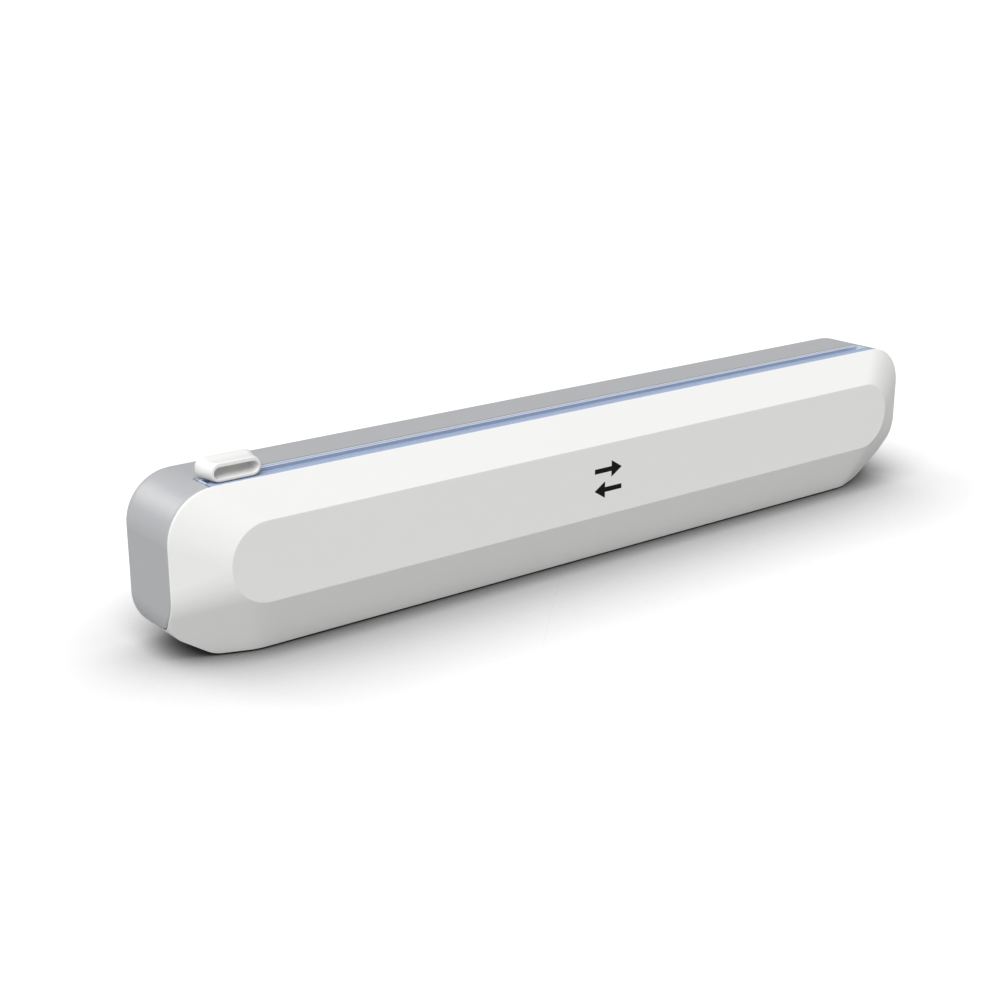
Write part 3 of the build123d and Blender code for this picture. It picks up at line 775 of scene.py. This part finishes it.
class DISPENSER_OT_slide(bpy.types.Operator):
    """Makes the slide's flared body with its recess, keel and neck, and finishes its runner and blades"""
    bl_idname = "dispenser.slide"
    bl_label = "Slide cutter"

    def execute(self, context):
        slide = context.scene.dispenser_slide
        track = context.scene.dispenser_track
        low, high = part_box("slider_body")
        rail_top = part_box("cutter_track")[1].z
        base = rail_top + PLAY
        x = (low.x + high.x) / 2
        tail_at = high.y - low.y - slide.tail_round
        mouth_middle = slide.mouth_height / 2

        def outline(depth, width, height, radius, centre):
            return rounded(width, height, radius, (x, low.y + depth, base + centre))

        def mouth(depth, inset):
            return outline(depth, slide.mouth_width - 2 * inset, slide.mouth_height - 2 * inset,
                           slide.mouth_height, mouth_middle)

        wall, edge = slide.mouth_wall, slide.mouth_round
        opening = slide.mouth_height - slide.mouth_roof - slide.mouth_floor

        def scoop(share, grow=0.0):
            height = opening * (1 - slide.scoop * share ** 2) + 2 * grow
            top = slide.mouth_height - slide.mouth_roof + grow
            width = slide.mouth_width - 2 * wall - SCOOP_TAPER * share ** 2 + 2 * grow
            return outline(share * slide.recess, width, height, opening / 2, top - height / 2)

        rings = [scoop(1.0, -SCOOP_INSET)]
        rings += [scoop(1 - index / SCOOP_STEPS) for index in range(SCOOP_STEPS)]
        rings += [outline(0.0, slide.mouth_width - 2 * wall + MOUTH_LIP, opening + MOUTH_LIP, opening,
                          slide.mouth_floor + opening / 2)]
        for index in range(RIM_STEPS + 1):
            turn = pi / 2 * index / RIM_STEPS
            rings.append(mouth(edge * (1 - cos(turn)), edge * (1 - sin(turn))))
        for index in range(1, FLARE_STEPS + 1):
            share = index / FLARE_STEPS
            dip = slide.dish * sin(pi * share) ** 2
            width = slide.mouth_width + (slide.tail_width - slide.mouth_width) * share ** FLARE_POWER
            height = slide.mouth_height + (slide.tail_height - slide.mouth_height) * share - dip
            corner = slide.mouth_height / 2 + (slide.tail_corner - slide.mouth_height / 2) * share
            rings.append(outline(edge + share * (tail_at - edge), width, height, corner, height / 2))
        for index in range(1, RIM_STEPS + 1):
            turn = pi / 2 * index / RIM_STEPS
            inset = slide.tail_round * (1 - cos(turn))
            rings.append(outline(tail_at + slide.tail_round * sin(turn), slide.tail_width - 2 * inset,
                                 slide.tail_height - 2 * inset, slide.tail_corner - inset * 0.8,
                                 slide.tail_height / 2))
        body = skin(rings, sharp=radians(50.0))

        foot_low, foot_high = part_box("slider_foot")
        slot_y = (foot_low.y + foot_high.y) / 2
        keel_low = rail_top - track.groove_depth + PLAY
        keel_wide, neck_wide = track.groove_width / 2 - PLAY, track.slot_width / 2 - PLAY
        keel = bar((x - KEEL_HALF, slot_y - keel_wide, keel_low),
                   (x + KEEL_HALF, slot_y + keel_wide, base + KEEL_RISE), KEEL_CHAMFER)
        neck = bar((x - NECK_HALF, slot_y - neck_wide, foot_high.z),
                   (x + NECK_HALF, slot_y + neck_wide, base), NECK_CHAMFER)
        piece("slide_body", joined(body, keel, neck), white_plastic(), "slider", "white_plastic",
              "slider_body")
        dress("slider_foot", pale_acetal())
        dress("cutter_blades", steel())
        return {"FINISHED"}


class DISPENSER_OT_roll(bpy.types.Operator):
    """Makes the wound film with its edges and free end, the ribs on the hubs, and finishes the tube"""
    bl_idname = "dispenser.roll"
    bl_label = "Film roll"

    def execute(self, context):
        roll = context.scene.dispenser_roll
        low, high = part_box("film_roll")
        axis = ((low.y + high.y) / 2, (low.z + high.z) / 2)
        outer = (high.z - low.z) / 2
        tube_low, tube_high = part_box("core_tube")
        inner = (tube_high.z - tube_low.z) / 2
        rings = [wheel(low.x, inner, axis, ROLL_STEPS), wheel(high.x, inner, axis, ROLL_STEPS)]
        edges = []
        for index in range(roll.windings):
            share = (index + 1) / (roll.windings + 1)
            edges.append((inner + share * (outer - inner), 0.0 if index % 2 else WINDING_DIP))
        rings += [wheel(high.x - dip, radius, axis, ROLL_STEPS) for radius, dip in edges]
        rings += [wheel(end, outer, axis, ROLL_STEPS, roll.overlap) for end in (high.x, low.x)]
        rings += [wheel(low.x + dip, radius, axis, ROLL_STEPS) for radius, dip in reversed(edges)]
        piece("wound_film", skin(rings, loop=True, sharp=radians(20.0)), wound_film(), "roll", "cling_film",
              "film_roll")
        dress("core_tube", paper_board())
        ribs = []
        for name, side in (("hub_left", -1), ("hub_right", 1)):
            dress(name, grey_plastic())
            face = side * (tube_high.x + RIB_FACE)

            def outline(rise, inset):
                return [(face + side * rise, y, z) for y, z in
                        ((RIB_NEAR + inset, inset - RIB_HALF), (RIB_FAR - inset, inset - RIB_HALF),
                         (RIB_FAR - inset, RIB_HALF - inset), (RIB_NEAR + inset, RIB_HALF - inset))]
            rib = skin([outline(-0.1 * MM, 0), outline(0.6 * MM, 0), outline(0.9 * MM, 0.25 * MM)])
            ribs.append(copies(ring_tree(), rib, grey_plastic(),
                               Count=context.scene.dispenser_fittings.hub_ribs,
                               Place=(0.0, axis[0], axis[1])))
        piece("hub_ribs", joined(*ribs), grey_plastic(), "roll", "grey_plastic")
        return {"FINISHED"}


class DISPENSER_OT_fittings(bpy.types.Operator):
    """Makes the screws, hinge pins, magnets, feet and the grip strip"""
    bl_idname = "dispenser.fittings"
    bl_label = "Fittings"

    def execute(self, context):
        fittings = context.scene.dispenser_fittings
        for name, node_name, body, along, across, shank, head, head_height, cone in SCREWS:
            low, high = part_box(node_name)
            shape = screw(shank, head, head_height, high.z - low.z, cone,
                          fittings.thread_pitch * min(1, shank / MM))
            place = middle(node_name)
            mesh = copies(rows_tree(), shape, steel(), Along=along,
                          Along_step=(high.x - low.x - 2 * head) / (along - 1), Across=across,
                          Across_step=(high.y - low.y - 2 * head) / max(across - 1, 1),
                          Place=(place.x, place.y, low.z))
            piece(name, mesh, steel(), body, "steel", node_name)

        low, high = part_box("hinge_pins")
        radius = (high.z - low.z) / 2
        pin = skin([wheel(x, radius - drop, (0.0, 0.0), 32) for x, drop in
                    ((-PIN_LENGTH / 2, PIN_CHAMFER), (-PIN_LENGTH / 2 + PIN_CHAMFER, 0.0),
                     (PIN_LENGTH / 2 - PIN_CHAMFER, 0.0), (PIN_LENGTH / 2, PIN_CHAMFER))])
        pins = row(pin, steel(), 2, high.x - low.x - PIN_LENGTH, middle("hinge_pins"))
        piece("pins", pins, steel(), "case", "steel", "hinge_pins")

        turns = [2 * pi * index / DISC_STEPS for index in range(DISC_STEPS)]
        for name, node_name, body in MAGNETS:
            low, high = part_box(node_name)
            radius, half = (high.y - low.y) / 2, (high.z - low.z) / 2
            round_edge = [(radius - 0.25 * MM, 0.0), (radius - 0.07 * MM, 0.07 * MM), (radius, 0.25 * MM)]
            levels = [(r, -half + d) for r, d in round_edge]
            levels += [(r, half - d) for r, d in reversed(round_edge)]
            shape = skin([disc(z, r, turns) for r, z in levels])
            mesh = row(shape, nickel(), 2, high.x - low.x - 2 * radius, middle(node_name))
            piece(name, mesh, nickel(), body, "magnet", node_name)

        low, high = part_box("film_grip_strip")
        place = middle("film_grip_strip")
        base = bar(low, (high.x, high.y, high.z - GRIP_HEIGHT), GRIP_CHAMFER)
        arch = [(GRIP_HALF * cos(pi * index / ARCH_STEPS),
                 -GRIP_SUNK + (GRIP_HEIGHT + GRIP_SUNK) * sin(pi * index / ARCH_STEPS))
                for index in range(ARCH_STEPS + 1)]
        rib = skin([[(x, y, z) for x, z in arch]
                    for y in (low.y - place.y + GRIP_INSET, high.y - place.y - GRIP_INSET)])
        count = int((high.x - low.x - GRIP_MARGIN) / fittings.strip_pitch)
        ribs = row(rib, silicone(), count, fittings.strip_pitch, (place.x, place.y, high.z - GRIP_HEIGHT))
        piece("grip_strip", joined(base, ribs), silicone(), "case", "soft_strip", "film_grip_strip")

        low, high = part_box("feet")
        pad = skin([[(px, pz, z) for px, _, pz in
                     rounded(PAD_LENGTH - 2 * inset, PAD_WIDTH - 2 * inset, PAD_WIDTH, (0, 0, 0), 10)]
                    for inset, z in ((PAD_EDGE, TREAD_HEIGHT), (0.0, TREAD_HEIGHT + PAD_EDGE),
                                     (0.0, high.z - low.z))])
        bars = int((PAD_LENGTH - PAD_WIDTH) / fittings.tread_pitch)
        ridge = bar((-TREAD_HALF, -PAD_WIDTH / 2 + TREAD_MARGIN, 0.0),
                    (TREAD_HALF, PAD_WIDTH / 2 - TREAD_MARGIN, TREAD_HEIGHT + TREAD_SUNK), TREAD_CHAMFER)
        ridges = row(ridge, rubber(), bars, fittings.tread_pitch, (0.0, 0.0, 0.0))
        place = middle("feet")
        mesh = copies(rows_tree(), joined(pad, ridges), rubber(),
                      Along=2, Along_step=high.x - low.x - PAD_LENGTH,
                      Across=2, Across_step=high.y - low.y - PAD_WIDTH, Place=(place.x, place.y, low.z))
        piece("foot_pads", mesh, rubber(), "case", "rubber", "feet")
        return {"FINISHED"}


class DISPENSER_OT_studio(bpy.types.Operator):
    """Adds the floor, the lights and the camera"""
    bl_idname = "dispenser.studio"
    bl_label = "Studio"

    def execute(self, context):
        studio = context.scene.dispenser_studio
        mesh = bpy.data.meshes.new("floor")
        mesh.from_pydata([(-FLOOR_HALF, -FLOOR_HALF, 0), (FLOOR_HALF, -FLOOR_HALF, 0),
                          (FLOOR_HALF, FLOOR_HALF, 0), (-FLOOR_HALF, FLOOR_HALF, 0)],
                         [], [(0, 1, 2, 3)])
        mesh.materials.append(floor_paint())
        placed("floor", mesh)

        sun = bpy.data.lights.new("key", "SUN")
        sun.energy = studio.key
        sun.angle = studio.key_spread
        key = placed("key", sun)
        key.rotation_euler = (-Vector(studio.key_from)).to_track_quat("-Z", "Y").to_euler()

        panel = bpy.data.lights.new("back", "AREA")
        panel.size = BACK_SIZE
        panel.energy = studio.back
        back = placed("back", panel)
        back.location = BACK_PLACE
        back.rotation_euler = (Vector(BACK_AIM) - back.location).to_track_quat("-Z", "Y").to_euler()

        world = bpy.data.worlds.new("studio")
        world.use_nodes = True
        sky = world.node_tree.nodes["Background"]
        sky.inputs["Color"].default_value = (1.0, 1.0, 1.0, 1.0)
        sky.inputs["Strength"].default_value = studio.ambient
        context.scene.world = world
        view = bpy.data.cameras.new("camera")
        view.lens = studio.lens
        view.sensor_width = SENSOR_WIDTH
        view.clip_start = CLIP_START
        camera = placed("camera", view)
        camera.location = studio.camera_place
        camera.rotation_euler = (pi / 2 - studio.camera_drop, 0.0, -studio.camera_turn)
        context.scene.camera = camera
        context.scene.view_settings.view_transform = "Standard"
        return {"FINISHED"}


SETTINGS = {"dispenser_case": CaseSettings, "dispenser_track": TrackSettings,
            "dispenser_slide": SlideSettings, "dispenser_roll": RollSettings,
            "dispenser_fittings": FittingSettings, "dispenser_studio": StudioSettings}
OPERATORS = (DISPENSER_OT_case, DISPENSER_OT_track, DISPENSER_OT_slide, DISPENSER_OT_roll,
             DISPENSER_OT_fittings, DISPENSER_OT_studio)


class DISPENSER_PT_panel(bpy.types.Panel):
    """Lists the dispenser's settings and the pieces that can be built"""
    bl_idname = "DISPENSER_PT_panel"
    bl_label = "Dispenser"
    bl_space_type = "VIEW_3D"
    bl_region_type = "UI"
    bl_category = "Dispenser"

    def draw(self, context):
        for key, kind in SETTINGS.items():
            box = self.layout.box()
            for prop in kind.__annotations__:
                box.prop(getattr(context.scene, key), prop)
        for operator in OPERATORS:
            self.layout.operator(operator.bl_idname)


def register():
    for kind in (*SETTINGS.values(), *OPERATORS, DISPENSER_PT_panel):
        bpy.utils.register_class(kind)
    for key, kind in SETTINGS.items():
        setattr(bpy.types.Scene, key, PointerProperty(type=kind))


def unregister():
    for key in SETTINGS:
        delattr(bpy.types.Scene, key)
    for kind in (DISPENSER_PT_panel, *reversed(OPERATORS), *reversed(SETTINGS.values())):
        bpy.utils.unregister_class(kind)


def main():
    register()
    for operator in OPERATORS:
        category, name = operator.bl_idname.split(".")
        getattr(getattr(bpy.ops, category), name)()


if __name__ == "__main__":
    main()
